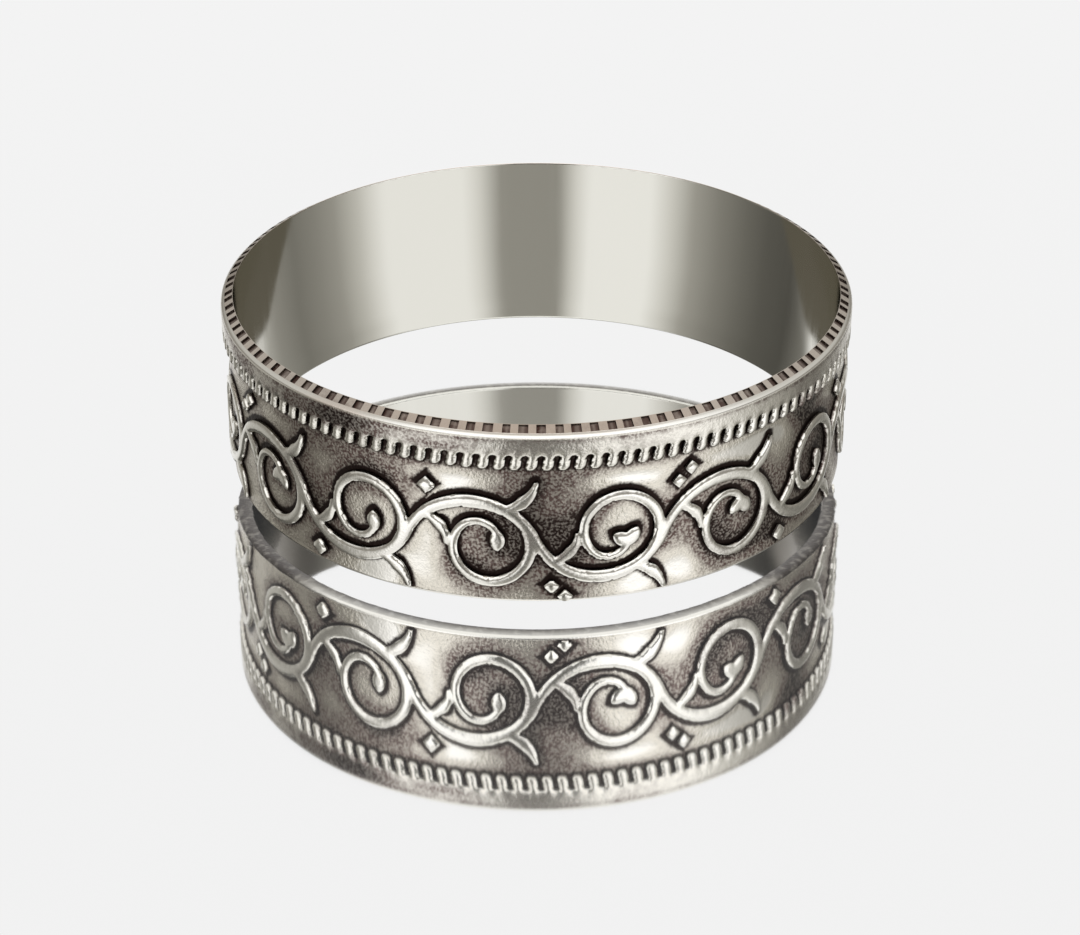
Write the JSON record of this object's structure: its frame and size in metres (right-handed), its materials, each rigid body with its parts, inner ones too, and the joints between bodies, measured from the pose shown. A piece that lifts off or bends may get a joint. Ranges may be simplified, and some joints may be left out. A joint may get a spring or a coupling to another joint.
{
  "type": "coin ring",
  "caption": "Plain-bored silver finger ring formed from a coin, with a reeded top edge, dentil border and a raised scroll round the band.",
  "frame": {"origin": "on the ring's axis, in the plane of the flat lower edge that the ring rests on", "axes": "+Z along the ring's axis, up through the finger hole towards the reeded edge; -Y faces the viewer of the picture"},
  "size_m": [0.0212, 0.0212, 0.0062],
  "materials": {
    "silver": "coin silver, polished inside and on the raised parts, matt and darkened in the recesses"
  },
  "bodies": {
    "root": {"ring_band": "silver"}
  },
  "joints": []
}
